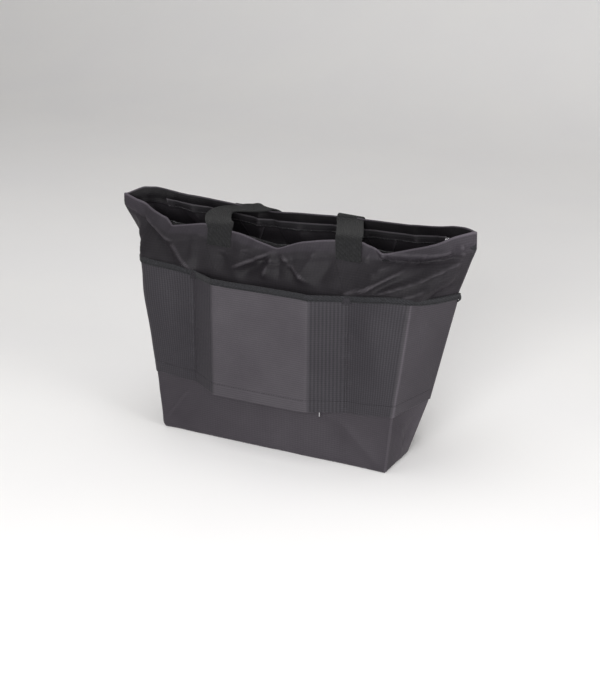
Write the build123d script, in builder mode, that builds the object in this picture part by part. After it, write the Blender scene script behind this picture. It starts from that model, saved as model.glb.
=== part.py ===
from build123d import *
import os

# Foldable nylon tote bag, in millimetres.
# Frame: +Z up, X along the bag's width, the trolley sleeve faces -Y.
# Origin: middle of the base, on the surface that the bag stands on.

# Body
base_half_width = 181.0       # back crease at the base
base_half_depth = 75.0
tip_half_width_base = 182.0   # side seam at the base
band_bottom_z = 88.0          # hem of the trolley band
band_top_z = 258.0            # top edge of the trolley band
rim_top_z = 345.0             # rim at the side seams
rim_mid_z = 329.0             # rim at the middle of each wall
belly_half_width = 190.0      # back crease at the band's hem
belly_tip_half_width = 212.0
belly_half_depth = 76.0
chest_half_width = 212.0      # back crease at the band's top edge
chest_tip_half_width = 252.0
chest_half_depth = 74.0
rim_half_width = 216.0
rim_tip_half_width = 278.0
rim_half_depth = 66.0

# Cloth
cloth = 1.2                   # body cloth with its coating
base_thickness = 1.6          # doubled cloth of the base
facing_depth = 24.0           # turned hem at the rim
seam_width = 2.0              # bound side seam, across
seam_reach = 11.0             # bound side seam, into the bag
layer_gap = 0.2               # between cloth layers of one body
running_gap = 0.4             # between parts that move

# Trolley band and sleeve
band_gap = 1.3                # band to back panel
sleeve_depth = 29.0           # room for the trolley tubes
sleeve_foot_half = 122.0      # sleeve's stitch lines
sleeve_crease_half = 76.0     # where the cloth turns over the tubes
binding_height = 11.0
binding_thickness = 0.8

# Zips
tape_thickness = 0.8
tape_width = 20.0
chain_width = 3.4
chain_thickness = 2.0
zip_standoff = 1.9            # chain to the wall behind it
sleeve_zip_half = 106.0       # half length of the zip under the sleeve
sleeve_zip_rise = 1.0         # zip above the band's hem
sleeve_slider_x = 83.0        # slider parked beside the right tube
slider_length = 9.0
slider_height = 8.0
slider_wall = 0.9
bridge_radius = 0.7
bridge_span = 5.0
bridge_post = 1.2
bridge_rise = 2.2
neck_length = 1.6
pull_length = 12.0
pull_thickness = 1.4
pull_rim = 0.9
pull_round = 0.98              # rounding of the tab's ends, of its half width
stop_length = 2.5
top_zip_drop = 8.0            # chain below the rim's lowest point
top_slider_x = 242.0
top_tail_start = 236.0        # closed stretch of the top zip
top_tail_end = 259.0
top_tail_half_widths = (13.0, 4.0)

# Handles
webbing_width = 38.0
webbing_thickness = 1.8
handle_half_spacing = 120.0   # sewn ends, to the middle of the bag
sewn_bottom_z = 284.0         # webbing is sewn down from here to the rim
handle_rest_gap = 2.5         # draped handle above the rim
arch_rise = 8.0               # draped handle, middle of the crossing
hang_gap = 2.0                # hanging loops to the front wall
cross_left_x = -78.0          # back handle where it crosses the front rim
cross_right_x = 72.0
back_straight = 37.0          # back loop, before the bow
turn_height = 20.0            # webbing stands edge on this far above the bow
turn_overlap = 6.0
front_fold_z = 320.0
front_straight = 111.0        # front loop, before the bow
patch_half_width = 23.0
patch_height = 42.0
patch_thickness = 0.8
tack_length = 9.0
tack_width = 1.6
tack_height = 0.8
tack_margin = 3.0             # tacks to the band's hem and binding
tack_side = 8.0               # tacks outside the sleeve's stitch lines

# Stow pocket inside the front wall
pocket_half_width = 90.0
pocket_bottom_z = 110.0
pocket_top_z = 235.0
pocket_slider_x = 78.0
pocket_cloth = 0.8

levels = [
    (0.0, tip_half_width_base, base_half_width, base_half_depth),
    (band_bottom_z, belly_tip_half_width, belly_half_width, belly_half_depth),
    (band_top_z, chest_tip_half_width, chest_half_width, chest_half_depth),
    (rim_top_z, rim_tip_half_width, rim_half_width, rim_half_depth),
]


def section_at(z):
    """Tip, crease and depth of the bag's outline at one height."""
    for low, high in zip(levels, levels[1:]):
        if z <= high[0]:
            break
    share = (z - low[0]) / (high[0] - low[0])
    return [a + (b - a) * share for a, b in zip(low[1:], high[1:])]


def outline(z, grow):
    """The six-cornered outline of the bag at height z, grown outwards."""
    tip, crease, depth = section_at(z)
    with BuildSketch(Plane.XY.offset(z)) as sketch:
        with BuildLine():
            Polyline(
                (-tip, 0), (-crease, -depth), (crease, -depth),
                (tip, 0), (crease, depth), (-crease, depth), close=True,
            )
        make_face()
        if grow:
            offset(amount=grow, kind=Kind.INTERSECTION)
    return sketch.sketch


def bag_block(grow, z_low, z_high):
    """The bag's outer form between two heights, solid."""
    heights = [z_low] + [lv[0] for lv in levels if z_low < lv[0] < z_high] + [z_high]
    with BuildPart() as block:
        loft([outline(z, grow) for z in heights], ruled=True)
    return block.part


def ring(grow_out, grow_in, z_low, z_high):
    """A wall that follows the bag's form, between two offsets."""
    with BuildPart() as wall:
        add(bag_block(grow_out, z_low, z_high))
        add(bag_block(grow_in, z_low, z_high), mode=Mode.SUBTRACT)
    return wall.part


def half_space(side, gap):
    """Box on the -Y side (side -1) or the +Y side (side 1) of the side seams."""
    reach = 2 * rim_tip_half_width
    with BuildPart() as box:
        with Locations((0, side * gap, 0)):
            align_y = Align.MIN if side > 0 else Align.MAX
            Box(2 * reach, reach, 3 * rim_top_z, align=(Align.CENTER, align_y, Align.CENTER))
    return box.part


def rim_cut():
    """Everything above the rim, which dips between the side seams."""
    reach = rim_tip_half_width + 10
    with BuildPart() as cut:
        with BuildSketch(Plane.XZ):
            with BuildLine():
                ThreePointArc((-reach, rim_top_z), (0, rim_mid_z), (reach, rim_top_z))
                Polyline((reach, rim_top_z), (reach, 2 * rim_top_z),
                         (-reach, 2 * rim_top_z), (-reach, rim_top_z))
            make_face()
        extrude(amount=2 * rim_tip_half_width, both=True)
    return cut.part


def wall_half(grow_out, grow_in, z_low, z_high, side):
    """One half of a wall layer, cut at the side seams and along the rim."""
    with BuildPart() as piece:
        add(ring(grow_out, grow_in, z_low, z_high))
        add(half_space(side, seam_width / 2), mode=Mode.INTERSECT)
        add(rim_cut(), mode=Mode.SUBTRACT)
    return piece


def span_box(half, z_low, z_high, side):
    """Box that keeps only a span of one wall."""
    depth = 2 * rim_tip_half_width
    with BuildPart() as box:
        with Locations((0, side * depth / 2, (z_low + z_high) / 2)):
            Box(2 * half, depth, z_high - z_low)
    return box.part


# ---- Body panels
back_panel = wall_half(0, -cloth, base_thickness, rim_top_z, -1)
front_panel = wall_half(0, -cloth, base_thickness, rim_top_z, 1)

with BuildPart() as base_panel:
    add(bag_block(0, 0, base_thickness))


def side_seam(side):
    """Bound seam between the two body panels, standing into the bag."""
    with BuildPart() as seam:
        with BuildSketch(Plane.XZ):
            outer = [(side * section_at(z)[0], z) for z in
                     (base_thickness, band_bottom_z, band_top_z, rim_top_z - 2)]
            inner = [(x - side * seam_reach, z) for x, z in reversed(outer)]
            with BuildLine():
                Polyline(*outer, *inner, close=True)
            make_face()
        extrude(amount=seam_width / 2, both=True)
    return seam


side_seam_left = side_seam(-1)
side_seam_right = side_seam(1)

# ---- Rim facings and the top zip, which lies open along both walls
facing_low_z = rim_mid_z - facing_depth
facing_in = -cloth - layer_gap
back_facing = wall_half(facing_in, facing_in - cloth, facing_low_z, rim_top_z, -1)
front_facing = wall_half(facing_in, facing_in - cloth, facing_low_z, rim_top_z, 1)

tape_in = facing_in - cloth - layer_gap
top_chain_z = rim_mid_z - top_zip_drop
top_zip_half = rim_half_width + 12.0


def top_zip_layer(grow_out, grow_in, z_low, z_high, side):
    with BuildPart() as piece:
        add(ring(grow_out, grow_in, z_low, z_high))
        add(half_space(side, seam_width / 2 + layer_gap), mode=Mode.INTERSECT)
        add(span_box(top_zip_half, z_low, z_high, side), mode=Mode.INTERSECT)
    return piece


back_zip_tape = top_zip_layer(tape_in, tape_in - tape_thickness,
                              top_chain_z - tape_width, top_chain_z, -1)
front_zip_tape = top_zip_layer(tape_in, tape_in - tape_thickness,
                               top_chain_z - tape_width, top_chain_z, 1)
back_zip_chain = top_zip_layer(tape_in, tape_in - chain_thickness,
                               top_chain_z, top_chain_z + chain_width, -1)
front_zip_chain = top_zip_layer(tape_in, tape_in - chain_thickness,
                                top_chain_z, top_chain_z + chain_width, 1)

# ---- Trolley band: side pockets and the sleeve between the stitch lines


def sleeve_form(z, grow):
    """Outline of the sleeve's bulge over the trolley tubes, rooted inside the wall."""
    depth = section_at(z)[2]
    root_depth = 2 * chain_thickness
    flare = (sleeve_foot_half - sleeve_crease_half) / sleeve_depth
    foot = sleeve_foot_half + flare * root_depth
    with BuildSketch(Plane.XY.offset(z)) as sketch:
        with BuildLine():
            Polyline(
                (-foot, root_depth - depth), (-sleeve_crease_half, -depth - sleeve_depth),
                (sleeve_crease_half, -depth - sleeve_depth), (foot, root_depth - depth),
                close=True,
            )
        make_face()
        if grow:
            offset(amount=grow, kind=Kind.INTERSECTION)
    return sketch.sketch


def sleeve_block(grow, z_low, z_high):
    with BuildPart() as block:
        loft([sleeve_form(z_low, grow), sleeve_form(z_high, grow)], ruled=True)
    return block.part


def band_layer(gap_in, gap_out, z_low, z_high):
    """A layer that runs with the band, from side seam to side seam."""
    with BuildPart() as piece:
        add(bag_block(gap_out, z_low, z_high))
        add(half_space(-1, seam_width / 2), mode=Mode.INTERSECT)
        add(sleeve_block(gap_out, z_low, z_high))
        add(bag_block(max(gap_in, layer_gap), z_low, z_high), mode=Mode.SUBTRACT)
        add(sleeve_block(gap_in, z_low, z_high), mode=Mode.SUBTRACT)
    return piece


band_out = band_gap + cloth
back_band = band_layer(band_gap, band_out, band_bottom_z, band_top_z)
with BuildPart() as band_binding:
    add(band_layer(band_gap - binding_thickness, band_out + binding_thickness,
                   band_top_z - binding_height, band_top_z + binding_thickness).part)
    add(back_band.part, mode=Mode.SUBTRACT)

# ---- Zip under the sleeve: upper half on the band's hem, lower half on the back panel
hem_tape_out = band_gap - layer_gap
with BuildPart() as sleeve_upper_tape:
    add(band_layer(hem_tape_out - tape_thickness, hem_tape_out,
                   band_bottom_z, band_bottom_z + tape_width / 2).part)
    add(span_box(sleeve_zip_half, 0, rim_top_z, -1), mode=Mode.INTERSECT)
with BuildPart() as sleeve_upper_chain:
    add(band_layer(hem_tape_out - chain_thickness, hem_tape_out,
                   band_bottom_z - chain_width, band_bottom_z).part)
    add(span_box(sleeve_crease_half + sleeve_depth / 2, 0, rim_top_z, -1), mode=Mode.INTERSECT)


def wall_strip(grow_out, grow_in, z_low, z_high, x_low, x_high, side):
    """A strip that lies along one wall, between two offsets."""
    depth = 2 * rim_tip_half_width
    with BuildPart() as piece:
        add(ring(grow_out, grow_in, z_low, z_high))
        with Locations(((x_low + x_high) / 2, side * depth / 2, (z_low + z_high) / 2)):
            Box(x_high - x_low, depth, z_high - z_low, mode=Mode.INTERSECT)
    return piece


def zip_on_wall(grow, z, half, side):
    """Tape and chain on one wall; grow is the chain's face nearest the wall."""
    step = 1 if grow > 0 else -1
    far = grow + step * chain_thickness
    mid = grow + step * (chain_thickness - tape_thickness) / 2
    tape = wall_strip(max(mid, mid + step * tape_thickness), min(mid, mid + step * tape_thickness),
                      z - tape_width, z, -half, half, side)
    chain = wall_strip(max(grow, far), min(grow, far), z, z + chain_width, -half, half, side)
    return tape, chain


def zip_stops(half, chain_y, z):
    """Metal end stops, one at each end of a chain."""
    with BuildPart() as stops:
        for end in (-1, 1):
            with Locations((end * (half + stop_length / 2 + layer_gap), chain_y, z)):
                Box(stop_length, chain_thickness, chain_width)
    return stops


slider_body = chain_thickness + 2 * (slider_wall + running_gap)
bridge_height = slider_body / 2 + bridge_rise


def zip_slider(plane, open_sides):
    """Slider that travels along the plane's X; the plane's Z points away from the tape."""
    with BuildPart(plane) as body:
        Box(slider_length, slider_height, slider_body)
        fillet(body.edges().filter_by(Axis(plane.origin, plane.z_dir)), radius=1.5)
        shift = 0 if open_sides == 2 else -slider_wall
        with Locations((0, shift, 0)):
            Box(slider_length, slider_height, chain_thickness + 2 * running_gap,
                mode=Mode.SUBTRACT)
        if open_sides == 2:
            with Locations((-slider_length / 2 + neck_length / 2, 0, 0)):
                Box(neck_length, 2 * bridge_post, slider_body)
        for end in (-1, 1):
            with Locations((end * bridge_span / 2, 0, slider_body / 2 + bridge_rise / 2)):
                Box(bridge_post, 2 * bridge_radius, bridge_rise)
        with Locations((0, 0, bridge_height)):
            Cylinder(bridge_radius, bridge_span + bridge_post, rotation=(0, 90, 0))
    return body


def zip_pull(plane):
    """Pull tab on edge, with a round eye on the slider's bridge, hanging down -Y."""
    eye = bridge_radius + running_gap
    centre = plane.origin + plane.z_dir * bridge_height
    side_plane = Plane(origin=centre, x_dir=plane.z_dir, z_dir=plane.x_dir)
    with BuildPart() as pull:
        with BuildSketch(side_plane):
            with Locations((0, pull_length / 2 - eye - pull_rim)):
                RectangleRounded(2 * (eye + pull_rim), pull_length, pull_round * (eye + pull_rim))
            Circle(eye, mode=Mode.SUBTRACT)
        extrude(amount=pull_thickness / 2, both=True)
    return pull


def zip_plane(x, y, z):
    """Plane of a zip on a wall that is seen from -Y."""
    return Plane(origin=(x, y, z), x_dir=(1, 0, 0), z_dir=(0, -1, 0))


sleeve_chain_z = band_bottom_z + sleeve_zip_rise
sleeve_lower_tape, sleeve_lower_chain = zip_on_wall(zip_standoff, sleeve_chain_z, sleeve_zip_half, -1)
sleeve_mid_z = sleeve_chain_z + chain_width / 2
sleeve_chain_y = -section_at(sleeve_mid_z)[2] - zip_standoff - chain_thickness / 2
sleeve_zip_stops = zip_stops(sleeve_zip_half, sleeve_chain_y, sleeve_mid_z)
sleeve_plane = zip_plane(sleeve_slider_x, sleeve_chain_y, sleeve_mid_z)
sleeve_zip_slider = zip_slider(sleeve_plane, 1)
sleeve_zip_pull = zip_pull(sleeve_plane)

# ---- Closed end of the top zip, with its slider
tail_z = top_chain_z + chain_width / 2
with BuildPart() as top_zip_tail:
    wide, narrow = top_tail_half_widths
    with BuildSketch(Plane.XY.offset(tail_z - tape_thickness / 2)):
        Polygon((top_tail_start, -wide), (top_tail_end, -narrow),
                (top_tail_end, narrow), (top_tail_start, wide), align=None)
        with Locations(((top_tail_start + top_tail_end) / 2, 0)):
            Rectangle(top_tail_end - top_tail_start, 2 * chain_width, mode=Mode.SUBTRACT)
    extrude(amount=tape_thickness)
with BuildPart() as top_zip_tail_chain:
    with Locations(((top_tail_start + top_tail_end) / 2, 0, tail_z)):
        Box(top_tail_end - top_tail_start, 2 * chain_width, chain_thickness)
top_plane = Plane(origin=(top_slider_x - slider_length, 0, tail_z), x_dir=(1, 0, 0), z_dir=(0, 0, 1))
top_zip_slider = zip_slider(top_plane, 2)
top_zip_pull = zip_pull(top_plane)

# ---- Stow pocket on the inside of the front wall
pocket_in = -cloth - layer_gap
stow_pocket = wall_strip(pocket_in, pocket_in - pocket_cloth, pocket_bottom_z,
                         pocket_top_z - chain_width, -pocket_half_width, pocket_half_width, 1)
pocket_zip_half = pocket_half_width - 4
stow_zip_tape, stow_zip_chain = zip_on_wall(-cloth - zip_standoff, pocket_top_z, pocket_zip_half, 1)
pocket_mid_z = pocket_top_z + chain_width / 2
pocket_chain_y = section_at(pocket_mid_z)[2] - cloth - zip_standoff - chain_thickness / 2
stow_zip_stops = zip_stops(pocket_zip_half, pocket_chain_y, pocket_mid_z)
pocket_plane = zip_plane(pocket_slider_x, pocket_chain_y, pocket_mid_z)
stow_zip_slider = zip_slider(pocket_plane, 1)
stow_zip_pull = zip_pull(pocket_plane)

# ---- Handles: 38 mm webbing


def rim_z(x):
    """Height of the rim's arc above one place along the wall."""
    reach = rim_tip_half_width + 10
    return rim_mid_z + (rim_top_z - rim_mid_z) * (x / reach) ** 2


def handle_ends(side, top_z):
    """The two ends of a handle, sewn to the outside of the hem."""
    with BuildPart() as ends:
        for x in (-handle_half_spacing, handle_half_spacing):
            add(wall_strip(layer_gap + webbing_thickness, layer_gap, sewn_bottom_z, top_z,
                           x - webbing_width / 2, x + webbing_width / 2, side).part)
    return ends


leg_z = rim_z(handle_half_spacing) + handle_rest_gap + webbing_thickness / 2
back_rim_y = -section_at(rim_z(handle_half_spacing))[2] - webbing_thickness
hang_y = belly_half_depth + hang_gap + webbing_thickness / 2
back_handle_ends = handle_ends(-1, leg_z - webbing_thickness)
front_handle_ends = handle_ends(1, front_fold_z - webbing_thickness)

with BuildPart() as back_handle_legs:
    for start_x, end_x in ((-handle_half_spacing, cross_left_x), (handle_half_spacing, cross_right_x)):
        stations = (
            (start_x, back_rim_y, leg_z),
            ((start_x + end_x) / 2, (back_rim_y + hang_y) / 2, leg_z + arch_rise),
            (end_x, hang_y - webbing_thickness, leg_z),
        )
        for first, second in zip(stations, stations[1:]):
            sections = []
            for x, y, z in (first, second):
                with BuildSketch(Plane.XZ.offset(-y)) as strap:
                    with Locations((x, z)):
                        Rectangle(webbing_width, webbing_thickness)
                sections.append(strap.sketch)
            loft(sections, ruled=True)


def hanging_loop(left_x, right_x, top_z, straight):
    """A loop of webbing: two flat ends, which turn edge on into a round bow."""
    bow_radius = (right_x - left_x) / 2
    bow_x = (left_x + right_x) / 2
    bow_z = top_z - straight
    edge_shift = (webbing_width - webbing_thickness) / 2
    flat_height = straight - turn_height
    with BuildPart() as loop:
        for x in (left_x, right_x):
            with Locations((x, hang_y, top_z - flat_height / 2)):
                Box(webbing_width, webbing_thickness, flat_height)
            with Locations((x, hang_y + edge_shift, bow_z)):
                Box(webbing_thickness, webbing_width, turn_height + turn_overlap,
                    align=(Align.CENTER, Align.CENTER, Align.MIN))
        with BuildSketch(Plane.XZ.offset(-hang_y - edge_shift)):
            with Locations((bow_x, bow_z)):
                Circle(bow_radius + webbing_thickness / 2)
                Circle(bow_radius - webbing_thickness / 2, mode=Mode.SUBTRACT)
                Rectangle(4 * bow_radius, 2 * bow_radius, align=(Align.CENTER, Align.MIN),
                          mode=Mode.SUBTRACT)
        extrude(amount=webbing_width / 2, both=True)
    return loop


back_handle_loop = hanging_loop(cross_left_x, cross_right_x, leg_z - webbing_thickness, back_straight)
front_handle_loop = hanging_loop(-handle_half_spacing, handle_half_spacing,
                                 front_fold_z, front_straight)


def handle_patches(side):
    """Three-cornered reinforcements inside the wall, under the handle ends."""
    with BuildPart() as patches:
        for x in (-handle_half_spacing, handle_half_spacing):
            with BuildPart(mode=Mode.PRIVATE) as prism:
                with BuildSketch(Plane.XZ):
                    Polygon((x - patch_half_width, facing_low_z - 1), (x, facing_low_z - patch_height),
                            (x + patch_half_width, facing_low_z - 1), align=None)
                extrude(amount=-side * rim_tip_half_width)
            layer = ring(-cloth - layer_gap, -cloth - layer_gap - patch_thickness,
                         facing_low_z - patch_height, facing_low_z)
            add(layer & prism.part)
    return patches


back_handle_patches = handle_patches(-1)
front_handle_patches = handle_patches(1)

with BuildPart() as bar_tacks:
    tack_in = band_out + layer_gap
    for z in (band_bottom_z + tack_margin, band_top_z - binding_height - tack_length - tack_margin):
        for x in (-sleeve_foot_half - tack_side, sleeve_foot_half + tack_side):
            add(wall_strip(tack_in + tack_height, tack_in, z, z + tack_length,
                           x - tack_width / 2, x + tack_width / 2, -1).part)

pieces = {
    "back_panel": back_panel,
    "front_panel": front_panel,
    "base_panel": base_panel,
    "side_seam_left": side_seam_left,
    "side_seam_right": side_seam_right,
    "back_facing": back_facing,
    "front_facing": front_facing,
    "back_zip_tape": back_zip_tape,
    "front_zip_tape": front_zip_tape,
    "back_zip_chain": back_zip_chain,
    "front_zip_chain": front_zip_chain,
    "top_zip_tail": top_zip_tail,
    "top_zip_tail_chain": top_zip_tail_chain,
    "top_zip_slider": top_zip_slider,
    "top_zip_pull": top_zip_pull,
    "back_band": back_band,
    "band_binding": band_binding,
    "bar_tacks": bar_tacks,
    "sleeve_upper_tape": sleeve_upper_tape,
    "sleeve_upper_chain": sleeve_upper_chain,
    "sleeve_lower_tape": sleeve_lower_tape,
    "sleeve_lower_chain": sleeve_lower_chain,
    "sleeve_zip_stops": sleeve_zip_stops,
    "sleeve_zip_slider": sleeve_zip_slider,
    "sleeve_zip_pull": sleeve_zip_pull,
    "stow_pocket": stow_pocket,
    "stow_zip_tape": stow_zip_tape,
    "stow_zip_chain": stow_zip_chain,
    "stow_zip_stops": stow_zip_stops,
    "stow_zip_slider": stow_zip_slider,
    "stow_zip_pull": stow_zip_pull,
    "back_handle_ends": back_handle_ends,
    "back_handle_legs": back_handle_legs,
    "back_handle_loop": back_handle_loop,
    "back_handle_patches": back_handle_patches,
    "front_handle_ends": front_handle_ends,
    "front_handle_loop": front_handle_loop,
    "front_handle_patches": front_handle_patches,
}

os.makedirs("parts", exist_ok=True)
for name, piece in pieces.items():
    piece.part.label = name
    export_step(piece.part, f"parts/{name}.step")
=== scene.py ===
import bmesh
import bpy
import math
import numpy as np
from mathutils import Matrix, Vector, noise


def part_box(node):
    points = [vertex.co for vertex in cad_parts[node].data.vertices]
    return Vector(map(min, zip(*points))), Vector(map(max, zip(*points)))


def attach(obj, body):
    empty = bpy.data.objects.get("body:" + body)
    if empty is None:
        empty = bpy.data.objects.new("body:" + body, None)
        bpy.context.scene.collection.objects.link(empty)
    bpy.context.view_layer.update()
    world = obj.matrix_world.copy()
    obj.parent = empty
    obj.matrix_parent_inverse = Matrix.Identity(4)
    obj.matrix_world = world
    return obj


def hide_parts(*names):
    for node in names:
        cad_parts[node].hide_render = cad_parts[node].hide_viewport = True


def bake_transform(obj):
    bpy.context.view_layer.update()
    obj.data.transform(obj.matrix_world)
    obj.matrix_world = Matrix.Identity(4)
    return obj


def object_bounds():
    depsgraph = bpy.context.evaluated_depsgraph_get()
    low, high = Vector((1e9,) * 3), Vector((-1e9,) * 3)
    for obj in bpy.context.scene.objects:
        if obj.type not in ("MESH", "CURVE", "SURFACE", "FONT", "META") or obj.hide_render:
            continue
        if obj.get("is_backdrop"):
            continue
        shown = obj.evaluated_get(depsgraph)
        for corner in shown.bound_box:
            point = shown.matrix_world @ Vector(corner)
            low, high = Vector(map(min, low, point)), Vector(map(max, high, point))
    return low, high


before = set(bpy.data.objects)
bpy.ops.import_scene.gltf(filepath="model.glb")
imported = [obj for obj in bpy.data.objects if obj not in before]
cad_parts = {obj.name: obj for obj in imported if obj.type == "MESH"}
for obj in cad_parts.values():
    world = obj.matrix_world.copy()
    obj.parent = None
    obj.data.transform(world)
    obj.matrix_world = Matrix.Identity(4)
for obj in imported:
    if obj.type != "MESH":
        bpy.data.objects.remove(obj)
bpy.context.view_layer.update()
print("frame loaded")

mm = 0.001
rear, front = -1, 1

# the bag's shape is in millimetres; the sizes that the frame knows are read from it
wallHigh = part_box("back_panel")[1]
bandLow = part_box("back_band")[0]
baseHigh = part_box("base_panel")[1]
bagShape = {
    # height, half width at side seam, half width at corner crease, half depth
    "levels": [
        (0, 182, 181, 75),
        (88, 212, 190, 76),
        (258, 252, 212, 74),
        (304, 270, 214, 70),
        (320, 277, 215, 68),
        (wallHigh.z / mm, wallHigh.x / mm, 216, 66),
    ],
    "creaseShare": 0.74,          # share of the half contour that the flat wall takes
    "cloth": 0.9,
    "hemDepth": 21.0,             # rim to hem seam
    "facingDepth": 24.0,
    "foldRadius": 1.0,            # cloth turned over at the rim
    "rearRim": [(-300, 336), (-250, 329), (-225, 323), (-198, 316), (-178, 305), (-150, 310), (-122, 315),
                (-84, 311), (-60, 309), (-28, 303), (4, 297), (20, 303), (36, 309), (62, 314), (84, 317),
                (124, 319), (142, 312), (158, 306), (182, 312), (206, 318), (232, 324), (262, 335),
                (300, 343)],
    "frontRim": [(-300, 336), (-270, 345), (-244, 344), (-202, 334), (-158, 327), (-100, 319), (-62, 316),
                 (-20, 319), (48, 322), (124, 324), (160, 326), (196, 331), (244, 340), (270, 343),
                 (300, 343)],
    "rearRimDepth": 47.0,         # the open mouth is narrower than the body below it
    "frontRimDepth": 55.0,
    "tipLean": (-18.0, -8.0),     # the side seams lean to the sleeve's side at the top, left and right
    "mouthPower": {-1: 2.4, 1: 3.0},
    "mouthFrom": 256.0,           # height where the walls begin to draw in
    "mouthTo": 330.0,             # height where they are drawn in fully
    "softHeights": [0, 90, 225, 262, 300, 345],
    "softShares": [0.012, 0.012, 0.02, 0.06, 0.13, 0.19],   # how far the corner creases are rounded
}
levelTable = np.array(bagShape["levels"], float)
creaseT = bagShape["creaseShare"]


def smoothStep(low, high, value):
    t = np.clip((value - low) / (high - low), 0, 1)
    return t * t * (3 - 2 * t)


def levelAt(z):
    return [np.interp(z, levelTable[:, 0], levelTable[:, k]) for k in (1, 2, 3)]


def rawContour(t, z):
    tip, crease, depth = levelAt(z)
    a = np.abs(t)
    past = a > 1                                   # beyond the side seam the other wall begins
    a = np.where(past, 2 - a, a)
    w = np.clip((a - creaseT) / (1 - creaseT), 0, 1)
    x = np.sign(t) * (np.minimum(a, creaseT) / creaseT * crease + (tip - crease) * w)
    y = depth * (1 - w) * np.where(past, -1, 1)
    return x, y


def contour(t, z):
    spread = np.interp(z, bagShape["softHeights"], bagShape["softShares"])
    spread = spread * (1 - 0.93 * smoothStep(0.84, 1.0, np.abs(t)))
    x, y, total = 0, 0, 0
    for step in np.linspace(-1, 1, 11):
        share = 1.02 - step * step
        rx, ry = rawContour(t + step * spread, z)
        x, y, total = x + rx * share, y + ry * share, total + share
    return x / total, y / total


def unfolded(t, z):
    tip, crease, depth = levelAt(z)
    a = np.abs(t)
    w = np.clip((a - creaseT) / (1 - creaseT), 0, 1)
    return np.sign(t) * (np.minimum(a, creaseT) / creaseT * crease + np.hypot(tip - crease, depth) * w)


rimAt = 335.0


def clothUv(u, z, top=None, past=0.0):
    crease = levelAt(np.minimum(z, 330))[1]
    a = np.abs(u)
    wide = np.where(a < 122, a, np.where(a < crease, 122 + (a - 122) * 90 / (crease - 122),
                                         212 + a - crease))
    if top is not None:
        # the rim is placed at one UV height so that the painted rim highlight and the facing's painted
        # shade in bodyNylon follow it
        z = np.where(z > 285, 285 + (z - 285) * (rimAt - 285) / (top - 285), z)
    return np.stack(np.broadcast_arrays(np.sign(u) * wide, z + past), -1)


def tOf(u, z):
    tip, crease, depth = levelAt(z)
    a = np.abs(u)
    w = np.clip((a - crease) / np.hypot(tip - crease, depth), 0, 1)
    return np.sign(u) * np.where(a <= crease, a / crease * creaseT, creaseT + (1 - creaseT) * w)


def foldField(folds, u, z):
    total = np.zeros(np.broadcast(u, z).shape)
    for u0, z0, u1, z1, width, height, power in folds:
        du, dz = u1 - u0, z1 - z0
        length = math.hypot(du, dz)
        s = ((u - u0) * du + (z - z0) * dz) / length ** 2
        along = np.clip(s, 0, 1)
        away = np.hypot(u - u0 - along * du, z - z0 - along * dz)
        fade = smoothStep(-0.08, 0.3, s) * (1 - smoothStep(0.7, 1.08, s))
        total = total + height * fade * np.exp(-(away / width) ** power)
    return total


def noiseField(u, z, size, seed, stretch=1.0):
    shape = np.broadcast(u, z).shape
    uu = np.broadcast_to(u, shape).ravel() / size
    zz = np.broadcast_to(z, shape).ravel() / (size * stretch)
    flat = [noise.noise(Vector((a, b, seed))) for a, b in zip(uu, zz)]
    return np.array(flat).reshape(shape)


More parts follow.
